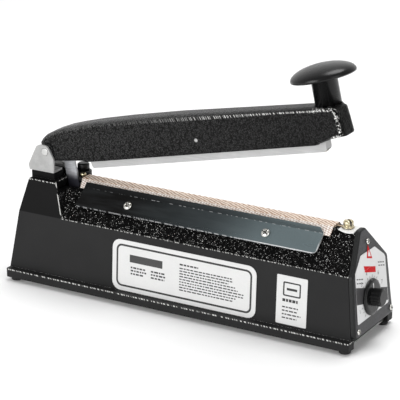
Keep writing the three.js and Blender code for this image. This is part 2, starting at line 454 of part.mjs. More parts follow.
const UNDER = 34.2, RIM_Z = 36.6, DOME_TOP = 45.6;    // cap: underside at the stem, rim, crown
const CAP_TILT = 2.5;
const stem = turned([[0, KNOB_SEAT + 0.3], [STEM_R, KNOB_SEAT + 0.3], [STEM_R, UNDER + 1], [0, UNDER + 1]],
  [KNOB_X, 0, 0], 'z', 48);
const dome = [[0, UNDER], [STEM_R + 1, UNDER], [CAP_R - 1.6, RIM_Z - 1.2], [CAP_R - 0.3, RIM_Z - 0.6],
  [CAP_R, RIM_Z + 0.2]];
for (let i = 1; i <= 9; i++) {
  const a = rad(10 * i);
  dome.push([i === 9 ? 0 : CAP_R * Math.cos(a), RIM_Z + 0.2 + (DOME_TOP - RIM_Z - 0.2) * Math.sin(a)]);
}
const knobCap = turned(dome.map(([r, z]) => [r, z - RIM_Z]), [0, 0, 0], 'z', 48)
  .rotate([0, -CAP_TILT, 0]).translate([KNOB_X, 0, RIM_Z]);
node('handle_knob', onArm(join(stem, knobCap).subtract(rod(2.8, 0, 30, [KNOB_X, 0, 0], 'z', 20))),
  BLACK_PLASTIC);
const boltSeat = 10.3;
node('knob_bolt', onArm(turned([
  [0, boltSeat - 3.4], [4.6, boltSeat - 3.4], [4.6, boltSeat], [2.5, boltSeat], [2.5, 29], [0, 29],
], [KNOB_X, 0, 0], 'z', 20)), ZINC);

let lever = join(box(LEVER_X0, LEVER_X1, -LEVER_T / 2, LEVER_T / 2, LEVER_TIP, 8.9),
  box(LEVER_X0, LEVER_X1, -LEVER_T / 2, 7.6, 7.4, 8.9));
lever = cut(lever, rod(1.5, -3, 3, [HOOK_X, 0, HOOK_Z], 'y', 16), rod(1.8, 5, 12, [10, 4.6, 0], 'z', 16));
node('return_lever', onArm(lever), ZINC);
node('lever_screw', onArm(turned([[0, 5.1], [2.6, 5.1], [2.6, 7.1], [1.4, 7.1], [1.4, 11.6], [0, 11.6]],
  [10, 4.6, 0], 'z', 16)), ZINC);

// ---- pressure bar -------------------------------------------------------------------
const BAR_WALL = 1.6, PAD_HALF = 2.8;
const barSide = filleted([[BAR_X0, BAR_LOW, 2.5], [BAR_X1, BAR_LOW, 3.5], [BAR_X1, BAR_HIGH, 0.8],
  [BAR_X0 - 1.8, BAR_HIGH, 0.8]]);
let bar = alongY(barSide, -BAR_Y, BAR_Y);
bar = join(bar, box(ROCK_X - 8, ROCK_X + 8, -BAR_Y, BAR_Y, BAR_HIGH - 1, ROCK_Z + 4));
bar = cut(bar, box(BAR_X0 + 3, BAR_X1 - 3, -BAR_Y + BAR_WALL, BAR_Y - BAR_WALL, BAR_LOW + 3.4, 10),
  box(BAR_X0 - 1, BAR_X1 + 1, -PAD_HALF - 0.3, PAD_HALF + 0.3, BAR_LOW - 1, BAR_LOW + 1.8),
  rod(ROCK_R + 0.05, -20, 20, [ROCK_X, 0, ROCK_Z], 'y', 20));
node('pressure_bar', onArm(bar), STEEL);
node('silicone_pad', onArm(box(BAR_X0 + 0.5, BAR_X1 - 2, -PAD_HALF, PAD_HALF, PAD_LOW, BAR_LOW + 1.5)),
  CREAM);
node('bar_pin', onArm(rod(ROCK_R, -ARM_W / 2 + 0.2, ARM_W / 2 - 0.2, [ROCK_X, 0, ROCK_Z], 'y', 20)), STEEL);

// ---- return spring ------------------------------------------------------------------
const WIRE = 0.6, COIL_R = 3.4, COILS = 8, PER_TURN = 10;
const HOOK_GAP = WIRE + 0.5;
const coilX0 = HOOK[0] + 8.6, coilX1 = ANCHOR_X - 6;
const path = [[HOOK[0], -LEVER_T / 2 - HOOK_GAP, 0], [HOOK[0], LEVER_T / 2 + HOOK_GAP, 0],
  [HOOK[0] + 3, LEVER_T / 2 + HOOK_GAP, 0.2], [coilX0 - 1.4, LEVER_T / 2 + HOOK_GAP, 0.4]];
for (let i = 0; i <= COILS * PER_TURN; i++) {
  const a = (2 * Math.PI * i) / PER_TURN;
  path.push([coilX0 + ((coilX1 - coilX0) * i) / (COILS * PER_TURN), COIL_R * Math.cos(a),
    COIL_R * Math.sin(a)]);
}
const wrap = ANCHOR_R + HOOK_GAP + 0.3;
path.push([coilX1 + 2.2, 0.6, wrap], [ANCHOR_X, 0, wrap], [ANCHOR_X + wrap, 0, 0], [ANCHOR_X, 0, -wrap]);
const springPath = new THREE.CatmullRomCurve3(path.map(([x, y, z]) => new THREE.Vector3(x, y, HOOK[1] + z)),
  false, 'centripetal');
const wire = [];
for (let i = 0; i < 6; i++) wire.push([WIRE * Math.cos(rad(60 * i)), WIRE * Math.sin(rad(60 * i))]);
node('return_spring', solid(new THREE.ExtrudeGeometry(outline(wire),
  { steps: COILS * PER_TURN + 24, bevelEnabled: false, extrudePath: springPath })), STEEL);
node('spring_anchor', rod(ANCHOR_R, -3.4, 9, [ANCHOR_X, 0, HOOK[1]], 'y', 16), ZINC);

// ---- seal line ----------------------------------------------------------------------
const seatR = rod(NOTCH_R - 0.3, -6.6, 6.6, [NOTCH_X, 0, RIDGE_Z - NOTCH_DEEP + NOTCH_R], 'y', 72)
  .intersect(box(100, rightWall(RIDGE_Z) - 0.3, -10, 10, 70, RIDGE_Z + 0.1))
  .subtract(rod(1.7, 80, 90, [TERM_R_X, 0, 0], 'z', 16));
node('insulator_right', seatR, WHITE);
node('insulator_left', box(TERM_L_X - 2.8, TERM_L_X + 3.1, RIDGE_CUT_Y, TERM_L_Y + 2.6, RIDGE_Z - 2.7,
  RIDGE_Z + 0.1).subtract(rod(1.3, 80, 90, [TERM_L_X, TERM_L_Y, 0], 'z', 16)), ROUGH_BLACK);
const screwTop = RIDGE_Z + 0.8;
node('terminal_screw_right', turned([
  [0, RIDGE_Z - 1.4], [1.4, RIDGE_Z - 1.4], [1.4, screwTop], [4.3, screwTop], [4.3, screwTop + 0.8],
  [3.2, screwTop + 1.0], [3.2, screwTop + 1.8], [3.9, screwTop + 2.0], [3.9, screwTop + 4.2],
  [2.6, screwTop + 5.3], [0, screwTop + 5.6],
], [TERM_R_X, 0, 0], 'z', 20), BRASS);
node('terminal_screw_left', turned([
  [0, RIDGE_Z - 2], [1.1, RIDGE_Z - 2], [1.1, screwTop], [2.4, screwTop], [2.4, screwTop + 2.0],
  [1.5, screwTop + 2.8], [0, screwTop + 2.9],
], [TERM_L_X, TERM_L_Y, 0], 'z', 20), BRASS);
node('insulating_tape', box(TERM_L_X + 4, TERM_R_X - 9, -4, 4, RIDGE_Z + 0.12, RIDGE_Z + 0.4), CREAM);
const ribbon = (x0, x1, half, y = 0) => box(x0, x1, y - half, y + half, RIDGE_Z + 0.5, RIDGE_Z + 0.7);
const element = join(ribbon(TERM_L_X, TERM_R_X, 1.2),
  ribbon(TERM_L_X - 1.6, TERM_L_X + 2.6, 1.8, TERM_L_Y), ribbon(TERM_R_X - 3.8, TERM_R_X + 3.8, 3.2));
node('heating_element', cut(element, rod(1.2, 80, 90, [TERM_L_X, TERM_L_Y, 0], 'z', 16),
  rod(1.6, 80, 90, [TERM_R_X, 0, 0], 'z', 16)), ZINC);

const clothDrop = (CLOTH_Z - CLOTH_LOW), clothRun = clothDrop / Math.tan(SLOPE);
const offset = CLOTH_T * Math.tan(SLOPE / 2), drop = CLOTH_T;
const clothOuter = [[-(CLOTH_Y + clothRun), CLOTH_LOW], [-CLOTH_Y, CLOTH_Z]];
const clothInner = [[-(CLOTH_Y - offset), CLOTH_Z - drop],
  [-(CLOTH_Y - offset + clothRun - CLOTH_T / Math.sin(SLOPE) + offset), CLOTH_LOW]];
const clothSection = [...clothOuter, ...clothOuter.slice().reverse().map(([y, z]) => [-y, z]),
  ...clothInner.slice().reverse().map(([y, z]) => [-y, z]), ...clothInner];
const clothSide = [
  [-96.6, CLOTH_LOW - 1], [120.6, CLOTH_LOW - 1], [120.0, CLOTH_Z + 1], [-97.4, CLOTH_Z + 1],
];
node('ptfe_cloth', alongX(clothSection, -110, 130).intersect(alongY(clothSide, -30, 30)), TAN);

// clamp plate section in the slope frame: flat part on the cloth, lip bent towards the ridge
const LIFT = 1.5, LIP_DEG = 14;
const lipRun = CLAMP_LIP * Math.cos(rad(LIP_DEG)), lipRise = CLAMP_LIP * Math.sin(rad(LIP_DEG));
const S_LOW = 23.7, S_CREASE = S_LOW - CLAMP_CREASE, S_TOP = S_CREASE - lipRun;
const clampSection = [
  [-S_LOW, LIFT], [-S_CREASE, LIFT], [-S_TOP, LIFT + lipRise],
  [-S_TOP - CLAMP_T * 0.25, LIFT + lipRise + CLAMP_T], [-S_CREASE - 0.15, LIFT + CLAMP_T],
  [-S_LOW, LIFT + CLAMP_T],
];
const clampPlan = filleted([[CLAMP_X0, -S_LOW, 3], [CLAMP_X1, -S_LOW, 5], [CLAMP_X1 + 0.4, -S_TOP - 4],
  [CLAMP_X1 - 4.4, -S_TOP + 1], [CLAMP_X0 + 2.8, -S_TOP + 1]], 6);
let clamp = alongX(clampSection, CLAMP_X0 - 1, CLAMP_X1 + 2).intersect(alongZ(clampPlan, -5, 10));
for (const x of CLAMP_SCREWS) clamp = clamp.subtract(rod(1.8, -5, 10, [x, -SCREW_S, 0], 'z', 16));
const headZ = LIFT + CLAMP_T + 0.15;
const noLip = box(-200, 200, -S_LOW - 1, -S_CREASE, -5, 10);   // the far plate ends at its crease
for (const [side, label] of [[1, 'near'], [-1, 'far']]) {
  node(`clamp_plate_${label}`, onSlope(side > 0 ? clamp : clamp.intersect(noLip), side), DARK_STEEL);
  CLAMP_SCREWS.forEach((x, i) => {
    node(`clamp_screw_${label}_${i + 1}`, onSlope(turned([[0, -5], [1.4, -5], [1.4, headZ], [3.5, headZ],
      [3.4, headZ + 0.8], [2.2, headZ + 1.8], [0, headZ + 2.1]], [x, -SCREW_S, 0], 'z', 20), side), ZINC);
  });
}

// ---- inlet and labels ---------------------------------------------------------------
const WALL_LEAN = Math.atan2(WALL_Y - KNEE_Y, KNEE_Z - PLINTH_TOP);
const wallY = (z) => WALL_Y - (z - PLINTH_TOP) * Math.tan(WALL_LEAN);
node('cable_grommet', turned([
  [3.4, -4.4], [6.6, -4.4], [6.6, -3.1], [5.0, -3.1], [5.0, 1.7], [7.0, 1.7], [6.4, 3.2], [3.4, 3.2],
  [3.4, -4.4],
], [INLET_X, wallY(INLET_Z) - 1, INLET_Z], 'y', 24), RUBBER);
function wallLabel(name, x, z, w, h, r, thickness) {
  const plate = alongZ(roundRect(w, h, r), 0.1, 0.1 + thickness)
    .rotate([90 - (WALL_LEAN * 180) / Math.PI, 0, 0]);
  node(name, plate.translate([x, -wallY(z), z]), WHITE);
}
wallLabel('rating_label', 8.4, 30.8, 125, 40.5, 7, 0.3);
wallLabel('approval_sticker', 100.3, 30.8, 25, 37.4, 0.8, 0.25);

export default model;
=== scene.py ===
# Looks for the impulse heat sealer: materials, printed labels, screws, seal cloth, studio.
import math
import random

import bmesh
import bpy
from mathutils import Matrix, Vector


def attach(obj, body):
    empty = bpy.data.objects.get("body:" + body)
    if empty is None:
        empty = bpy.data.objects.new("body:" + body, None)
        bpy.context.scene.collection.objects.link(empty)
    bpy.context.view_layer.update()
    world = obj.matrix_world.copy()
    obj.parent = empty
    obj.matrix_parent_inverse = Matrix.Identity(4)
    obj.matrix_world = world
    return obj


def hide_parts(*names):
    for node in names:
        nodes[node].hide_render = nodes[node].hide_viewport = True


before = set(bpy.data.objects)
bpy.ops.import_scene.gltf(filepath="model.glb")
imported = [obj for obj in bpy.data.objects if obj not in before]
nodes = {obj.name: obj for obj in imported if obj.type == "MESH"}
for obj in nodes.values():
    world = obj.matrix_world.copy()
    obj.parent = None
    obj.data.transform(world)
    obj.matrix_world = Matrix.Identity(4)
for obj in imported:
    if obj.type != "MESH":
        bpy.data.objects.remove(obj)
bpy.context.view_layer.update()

# ---- sizes of the part, millimetres ----------------------------------------------------
MM = 0.001                        # one millimetre in metres
SHIFT = -5.769                    # row frame's x less the design's x
OPEN = math.radians(12.8)         # the arm's angle as stored
PIVOT = (-125.5 + SHIFT, 0.0, 103.7)
RIDGE_Y, RIDGE_Z = 4.5, 83.0      # edge of the flat seal line
KNEE_Y, KNEE_Z = 29.0, 57.2       # where the slopes meet the walls
WALL_Y, PLINTH_TOP = 31.8, 10.0   # foot of the walls
TOWER_X, TOWER_RUN = -107.27, -0.4    # the tower's corner at the knee (row frame), its run in x
CROWN_Z = 81.8                    # upper edge of the tower
PLATE_END = 115.0 + SHIFT         # the timer end of the clamp plates (row frame)
CAP_X = 148.9 + 0.3 + 3.9 + SHIFT     # outside of the end cap at the plinth's top (row frame)
FACE_RUN, UPPER_RUN = 0.097, 0.262    # the end cap's two faces: millimetres back per one up
DIAL_Y, DIAL_Z = -4.0, 35.2       # axis of the timer knob
SKIRT_R, GRIP_R = 13.6, 6.7       # timer knob
LABEL_X, STICKER_X, LABEL_Z = 8.4, 100.3, 30.8
LABEL_TOP, STICKER_TOP, DIAL_TOP = 0.1 + 0.3, 0.1 + 0.25, 0.45    # heights over the walls

SLOPE = math.atan2(RIDGE_Z - KNEE_Z, KNEE_Y - RIDGE_Y)
WALL_LEAN = math.atan2(WALL_Y - KNEE_Y, KNEE_Z - PLINTH_TOP)
FACE_LEAN, UPPER_LEAN = math.atan(FACE_RUN), math.atan(UPPER_RUN)


def frame_of(origin, x_axis, z_axis):
    """Matrix from local millimetres to the row frame in metres."""
    x, z = Vector(x_axis).normalized(), Vector(z_axis).normalized()
    y = z.cross(x)
    m = Matrix.Identity(4)
    for k in range(3):
        m[k] = (x[k] * MM, y[k] * MM, z[k] * MM, origin[k] * MM)
    return m


def upright(x, y=0.0):
    """On the seal line, z up."""
    return frame_of((x + SHIFT, y, RIDGE_Z), (1, 0, 0), (0, 0, 1))


def slope_frame(side):
    """On a slope (side -1 near, 1 far): y up it, z out of it, x along the machine."""
    return frame_of((SHIFT, side * RIDGE_Y, RIDGE_Z), (-side, 0, 0),
                    (0, side * math.sin(SLOPE), math.cos(SLOPE)))


def end_frame(z, lean):
    """On the timer end at height z: x across it to the far side, y up it, z out of it."""
    return frame_of((CAP_X - FACE_RUN * (z - PLINTH_TOP), 0, z), (0, 1, 0),
                    (math.cos(lean), 0, math.sin(lean)))


def wall_frame(x, z):
    """On the near wall: x along it, y up it, z out of it."""
    y = WALL_Y - (z - PLINTH_TOP) * (WALL_Y - KNEE_Y) / (KNEE_Z - PLINTH_TOP)
    return frame_of((x + SHIFT, -y, z), (1, 0, 0), (0, -math.cos(WALL_LEAN), math.sin(WALL_LEAN)))


ROW = frame_of((0, 0, 0), (1, 0, 0), (0, 0, 1))
FACE, UPPER = end_frame(DIAL_Z, FACE_LEAN), end_frame(KNEE_Z, UPPER_LEAN)


# ---- camera ----------------------------------------------------------------------------
AZ, EL, ROLL = math.radians(30.383), math.radians(19.398), math.radians(-0.189)
AIM, DISTANCE = ((5.435 + SHIFT) * MM, 0, 82.668 * MM), 1.456253
SENSOR, LENS = 36, 173.95092      # millimetres, for a square frame
back = Vector((math.sin(AZ) * math.cos(EL), -math.cos(AZ) * math.cos(EL), math.sin(EL)))
cam = bpy.data.objects.new("camera", bpy.data.cameras.new("camera"))
bpy.context.scene.collection.objects.link(cam)
cam.data.sensor_width, cam.data.lens = SENSOR, LENS
cam.data.clip_start, cam.data.clip_end = 0.05, 30
cam.location = Vector(AIM) + back * DISTANCE
cam.rotation_mode = "QUATERNION"
look = (-back).to_track_quat("-Z", "Y").to_matrix()
cam.rotation_quaternion = (look @ Matrix.Rotation(ROLL, 3, "Z")).to_quaternion()
bpy.context.scene.camera = cam


# ---- material tools --------------------------------------------------------------------
def grey(value):
    return (value, value, value)


class Mat:
    """A Principled material with short calls for its nodes."""

    def __init__(self, name, metal=0.0, specular=0.5):
        self.m = bpy.data.materials.new(name)
        self.m.use_nodes = True
        self.t = self.m.node_tree
        self.b = self.t.nodes["Principled BSDF"]
        self.set("Metallic", metal)
        self.set("Specular IOR Level", specular)
        # metres in the row frame at rest, so they ride with the piece
        self.place = self.node("ShaderNodeTexCoord").outputs["Object"]

    def feed(self, socket, value):
        if isinstance(value, bpy.types.NodeSocket):
            self.t.links.new(value, socket)
        else:
            socket.default_value = (*value, 1) if socket.type == "RGBA" else value

    def set(self, socket, value):
        self.feed(self.b.inputs[socket], value)

    def node(self, kind, inputs=None, **props):
        n = self.t.nodes.new(kind)
        for key, value in props.items():
            setattr(n, key, value)
        for key, value in (inputs or {}).items():
            self.feed(n.inputs[key], value)
        return n

    def axes(self, vector=None):
        n = self.node("ShaderNodeSeparateXYZ", {0: vector or self.place})
        return n.outputs[0], n.outputs[1], n.outputs[2]

    def facing(self):
        """The three components of the surface direction, in the piece's own axes."""
        return self.axes(self.node("ShaderNodeTexCoord").outputs["Normal"])

    def math(self, op, *values, clamp=False):
        return self.node("ShaderNodeMath", dict(enumerate(values)), operation=op,
                         use_clamp=clamp).outputs[0]

    def chain(self, op, first, rest):
        for value in rest:
            first = self.math(op, first, value)
        return first

    def mul(self, first, *rest):
        return self.chain("MULTIPLY", first, rest)

    def add(self, first, *rest):
        return self.chain("ADD", first, rest)

    def most(self, first, *rest):
        return self.chain("MAXIMUM", first, rest)

    def sub(self, a, b):
        return self.math("SUBTRACT", a, b)

    def size(self, a):
        return self.math("ABSOLUTE", a)

    def wave(self, value, pitch):
        return self.math("SINE", self.mul(value, 2 * math.pi / pitch))

    def step(self, value, zero, one):
        """0 from zero on, 1 from one on, smooth between; zero may be the higher."""
        return self.node("ShaderNodeMapRange", {"Value": value, "From Min": zero, "From Max": one},
                         interpolation_type="SMOOTHSTEP").outputs["Result"]

    def near(self, value, line, zero, one):
        """1 within one of a line, 0 beyond zero."""
        return self.step(self.size(self.sub(value, line)), zero, one)

    def remap(self, value, low, high, to_low=0, to_high=1):
        n = self.node("ShaderNodeMapRange", {"Value": value, "From Min": low, "From Max": high,
                                             "To Min": to_low, "To Max": to_high})
        return n.outputs["Result"]

    def noise(self, scale, detail=3.0, rough=0.5, vector=None, output="Fac"):
        n = self.node("ShaderNodeTexNoise", {"Vector": vector or self.place, "Scale": scale,
                                             "Detail": detail, "Roughness": rough})
        return n.outputs[output]

    def streaks(self, detail, rough, scale, rotation=(0, 0, 0)):
        """Noise with its own scale along each axis."""
        n = self.node("ShaderNodeMapping", {"Vector": self.place, "Scale": scale,
                                            "Rotation": rotation})
        return self.noise(1.0, detail, rough, vector=n.outputs["Vector"])

    def beads(self, scale, low, high):
        """Dashes along an edge: noise in one dimension, running along x and y together."""
        run = self.node("ShaderNodeVectorMath", {0: self.place, 1: (1, 1, 0.6)},
                        operation="DOT_PRODUCT")
        n = self.node("ShaderNodeTexNoise", {"W": run.outputs["Value"], "Scale": scale,
                                             "Detail": 1}, noise_dimensions="1D")
        return self.step(n.outputs["Fac"], low, high)

    def bent(self, scale):
        """The place, pushed about by noise, so that cells in it are uneven."""
        drift = self.noise(scale, 2, output="Color")
        return self.node("ShaderNodeVectorMath", {0: drift, 1: grey(1.2 * MM), 2: self.place},
                         operation="MULTIPLY_ADD").outputs[0]

    def cells(self, scale, vector, output="Distance", feature="F1"):
        return self.node("ShaderNodeTexVoronoi", {"Vector": vector, "Scale": scale},
                         feature=feature).outputs[output]

    def lot(self, scale, vector):
        """One random value for each cell."""
        color = self.cells(scale, vector, "Color")
        return self.node("ShaderNodeSeparateColor", {0: color}).outputs[0]

    def mix(self, fac, a, b):
        return self.node("ShaderNodeMix", {0: fac, 6: a, 7: b}, data_type="RGBA").outputs[2]

    def blend(self, fac, a, b):
        return self.node("ShaderNodeMix", {0: fac, 2: a, 3: b}, data_type="FLOAT").outputs[0]

    def tint(self, value, low, high, start=0.35, end=0.65):
        """From one colour to another as a noise value rises."""
        return self.mix(self.remap(value, start, end), low, high)

    def bump(self, height, strength, distance):
        """Height 0 to 1 stands for distance millimetres."""
        return self.node("ShaderNodeBump", {"Height": height, "Strength": strength,
                                            "Distance": distance * MM}).outputs["Normal"]

    def finish(self, color, rough, normal):
        self.set("Base Color", color)
        self.set("Roughness", rough)
        self.set("Normal", normal)
        return self.m


# ---- materials of the metal and plastic pieces -----------------------------------------
def wall_paint():
    """Satin black paint on the casting; the slopes have a crackled finish whose glints are painted
    in as bright specks, painted highlights run along some edges, and the upper tower carries
    painted shade.
    """
    m = Mat("satin_black_paint")
    x, y, z = m.axes()
    nx, _, nz = m.facing()
    rise = m.sub(z, KNEE_Z * MM)
    tower_edge = m.math("MULTIPLY_ADD", rise, TOWER_RUN, TOWER_X * MM)
    above = m.step(rise, -0.05 * MM, 0.15 * MM)
    right = m.step(m.sub(x, tower_edge), -0.2 * MM, 0.1 * MM)
    left = m.sub(1.0, right)
    slope, tower = m.mul(above, right), m.mul(above, left, 0.9)
    # painted glints: fine bright specks and short curved cracks painted near white on a black
    # ground, standing in for the light the crackled slopes catch
    bent = m.bent(700)
    glint_flakes = m.mul(m.step(m.cells(1900, bent), 0.5, 0.3), m.step(m.lot(1900, bent), 0.93, 0.95))
    crack_glints = m.mul(m.near(m.noise(520, 3, 0.6), 0.5, 0.008, 0.002),
                  m.step(m.noise(420, 2), 0.55, 0.6), 0.3)
    slope_glints = m.mix(m.most(glint_flakes, crack_glints), grey(0.0008), (0.95, 0.95, 0.93))
    # smooth walls: slow shade changes at random, and painted shade making the upper tower darker
    cloud = m.noise(22, 4, 0.6)
    wall = m.tint(cloud, (0.0155, 0.0155, 0.0158), (0.0185, 0.0185, 0.0188))
    wall = m.mix(tower, wall, (0.0045, 0.0045, 0.0046))
    # painted highlights: bright dashes along the knee, the plinth's upright corner and the tower's
    # crown
    knee = m.mul(m.near(z, KNEE_Z * MM, 0.42 * MM, 0.2 * MM), right, 0.8)
    rim = m.mul(m.step(z, 8.8 * MM, 9.2 * MM), m.step(z, 10.12 * MM, 10.04 * MM),
                m.step(nz, 0.75, 0.6))
    crown = m.mul(m.near(z, CROWN_Z * MM, 0.5 * MM, 0.3 * MM), m.step(nz, 0.85, 0.7), left)
    dashes = m.mul(m.most(knee, rim, crown), m.beads(560, 0.5, 0.55))
    # painted highlights: dashes on the near corner of the tower above the slope, on its long side
    # only
    width = m.math("MULTIPLY_ADD", rise, 0.34, m.size(y))
    side = m.mul(m.near(x, tower_edge, 0.9 * MM, 0.6 * MM), above, m.step(m.size(nx), 0.75, 0.5),
                 m.step(width, 27.8 * MM, 28.4 * MM), m.beads(300, 0.42, 0.46))
    m.set("Specular IOR Level", m.blend(slope, m.blend(tower, 0.13, 0.07), 0.06))
    rough = m.blend(slope, m.remap(cloud, 0.35, 0.65, 0.40, 0.5),
                    m.remap(m.noise(1300, 5, 0.65), 0.3, 0.7, 0.3, 0.6))
    peel, grain = m.bump(m.noise(700, 2), 0.12, 0.2), m.bump(m.noise(1100, 4, 0.7), 1.0, 0.9)
    normal = m.node("ShaderNodeMix", {0: slope, 4: peel, 5: grain}, data_type="VECTOR").outputs[1]
    # the painted highlights, laid near white over the paint and the glints
    edge_glints = m.most(dashes, side)
    return m.finish(m.mix(edge_glints, m.mix(slope, wall, slope_glints), (0.62, 0.62, 0.60)), rough, normal)


def hammered_paint():
    """Hammered enamel: dimples one to two millimetres across, with painted light on the top and
    sides, painted shade on the end faces and painted glints along the upper edges.
    """
    m = Mat("hammered_black_paint")
    x, y, z = m.axes()
    nx, _, nz = m.facing()
    up = m.add(m.mul(m.sub(z, PIVOT[2] * MM), math.cos(OPEN)),
               m.mul(m.sub(x, PIVOT[0] * MM), -math.sin(OPEN)))
    top, end = m.step(nz, 0.15, 0.6), m.step(nx, 0.5, 0.9)

    def along(hinge, knob):
        return m.remap(x, -100 * MM, 100 * MM, hinge, knob)

    bent = m.bent(900)
    dimples = m.cells(760, bent, feature="SMOOTH_F1")
    fine = m.noise(1500, 3, 0.6)
    # painted light: the dimples' light specks get one strength on the top and another on the sides,
    # each fading from the hinge end to the knob end
    painted_light = m.blend(top, along(0.075, 0.038), along(0.09, 0.02))
    shade = m.mul(m.step(fine, 0.49, 0.58), m.step(dimples, 0.6, 0.35), painted_light)
    color = m.mix(shade, grey(0.0006), grey(1))
    # painted shade: the end faces darker
    color = m.mix(m.mul(end, 0.75), color, grey(0.001))
    # glints along the two upper edges
    side = m.size(y)
    edge = m.mul(m.step(side, 11.22 * MM, 11.1 * MM), m.step(side, 10.2 * MM, 10.7 * MM),
                 m.step(up, 7 * MM, 9 * MM), m.beads(900, 0.52, 0.58),
                 m.remap(x, -40 * MM, 70 * MM, 0.1, 1.0))
    # the rounded corners at the knob end and the top beside the stem catch more light
    specks = m.lot(1150, bent)
    corner = m.mul(m.step(nx, 0.12, 0.4), m.step(nx, 0.95, 0.7), m.step(x, 110 * MM, 115 * MM),
                   m.step(nz, 0.6, 0.3), m.step(specks, 0.64, 0.8))
    stem = m.mul(m.step(x, 94 * MM, 100 * MM), m.step(side, 7 * MM, 8 * MM),
                 m.step(up, 12 * MM, 13 * MM), m.step(specks, 0.72, 0.82))
    color = m.mix(m.most(edge, corner, stem), color, (0.9, 0.9, 0.88))
    m.set("Specular IOR Level", m.blend(end, m.blend(top, 0.12, along(0.3, 0.18)), 0.04))
    height = m.add(m.mul(dimples, 0.9), m.mul(fine, 0.45))
    return m.finish(color, m.remap(dimples, 0.0, 0.8, 0.24, 0.42), m.bump(height, 1.0, 0.8))


def grained(name, low, high, rough, grain, strength, specular=0.5):
    """Moulded or cast surface: fine grain, slow shade changes, uneven gloss."""
    m = Mat(name, specular=specular)
    fine, wide = m.noise(grain, 4, 0.6), m.noise(30, 3)
    return m.finish(m.tint(m.blend(0.55, fine, wide), low, high),
                    m.remap(wide, 0.3, 0.7, rough - 0.06, rough + 0.08),
                    m.bump(fine, strength, 0.2))


def brushed(name, low, high, rough, along, metal=1.0):
    """Rolled or brushed metal: fine lines along one axis, a few stains."""
    m = Mat(name, metal=metal)
    lines, stain = m.streaks(4, 0.7, along), m.noise(45, 4, 0.6)
    return m.finish(m.tint(m.blend(0.5, lines, stain), low, high),
                    m.remap(m.blend(0.4, lines, stain), 0.3, 0.7, rough - 0.08, rough + 0.1),
                    m.bump(lines, 0.35, 0.06))


def polished_plate():
    """Dark polished steel with a painted reflection, black at the hinge end and slate at the timer
    end, painted highlights on its sheared edges and dashes of painted highlight along the crease.
    """
    m = Mat("polished_dark_steel", metal=0.55, specular=0.3)
    x, y, z = m.axes()
    _, ny, nz = m.facing()
    down = m.add(m.mul(m.sub(m.size(y), RIDGE_Y * MM), math.cos(SLOPE)),
                 m.mul(m.sub(RIDGE_Z * MM, z), math.sin(SLOPE)))
    across = m.add(m.mul(m.size(ny), math.sin(SLOPE)), m.mul(nz, math.cos(SLOPE)))
    right = m.step(x, 30 * MM, 70 * MM)
    # painted reflection: black at the hinge end to slate towards the timer end, with painted shade
    # above the crease
    along = m.add(x, m.mul(down, 0.5), m.mul(m.sub(m.noise(20, 2), 0.5), 0.02))
    painted_reflection = m.mix(m.step(along, -0.055, 0.035), (0.0035, 0.0033, 0.0032), (0.046, 0.056, 0.060))
    painted_reflection = m.mix(m.step(along, 0.02, 0.085), painted_reflection, (0.165, 0.21, 0.222))
    # painted sheen: soft pale streaks over the painted reflection
    sheen_streaks = m.streaks(4, 0.6, (22, 160, 160))
    painted_reflection = m.mix(m.remap(sheen_streaks, 0.45, 0.75, 0.0, 0.1), painted_reflection, (0.16, 0.18, 0.19))
    # painted shade: the lip above the crease darker
    lip = m.mul(m.step(down, 7.2 * MM, 6.9 * MM), 0.45)
    painted_reflection = m.mix(lip, painted_reflection, (0.012, 0.013, 0.014))
    # painted highlight: dashes along the crease, growing towards the timer end
    crease = m.mul(m.near(down, 7.1 * MM, 0.28 * MM, 0.1 * MM), m.beads(260, 0.5, 0.58),
                   m.remap(x, -100 * MM, -30 * MM, 0.0, 0.4))
    # painted highlights on the edges: all round, along the foot and at the timer end
    rim = m.mul(m.step(across, 0.86, 0.6), m.remap(x, -100 * MM, 20 * MM, 0.45, 1.0))
    foot = m.mul(m.step(down, 22.95 * MM, 23.2 * MM), m.math("MULTIPLY_ADD", right, 0.5, 0.35))
    last = m.mul(m.step(x, (PLATE_END - 0.8) * MM, (PLATE_END - 0.5) * MM),
                 m.step(down, 12 * MM, 20 * MM), 0.8)
    edges = m.mul(m.most(rim, foot, last), m.most(m.beads(300, 0.44, 0.5), right))
    line = m.streaks(2, 0.5, (30, 1500, 1500), (0.3, 0.2, 0.1))
    return m.finish(m.mix(m.most(crease, edges), painted_reflection, (0.86, 0.87, 0.88)),
                    m.remap(sheen_streaks, 0.3, 0.7, 0.26, 0.4), m.bump(line, 0.08, 0.04))


def lever_zinc():
    """Zinc bar, bright under the arm, with painted shade darkening it where it dips into the slot.
    """
    m = Mat("lever_zinc", metal=0.6)
    z = m.axes()[2]
    # painted shade: the bar turns dark towards its lower end, along a ragged line
    low = m.step(m.add(z, m.mul(m.noise(160, 3), 6 * MM)), 90.5 * MM, 82.5 * MM)
    lines = m.streaks(4, 0.7, (60, 60, 600))
    color = m.mix(low, m.tint(lines, (0.40, 0.41, 0.43), (0.72, 0.73, 0.76)), (0.045, 0.045, 0.06))
    return m.finish(color, m.remap(lines, 0.3, 0.7, 0.3, 0.5), m.bump(lines, 0.3, 0.1))


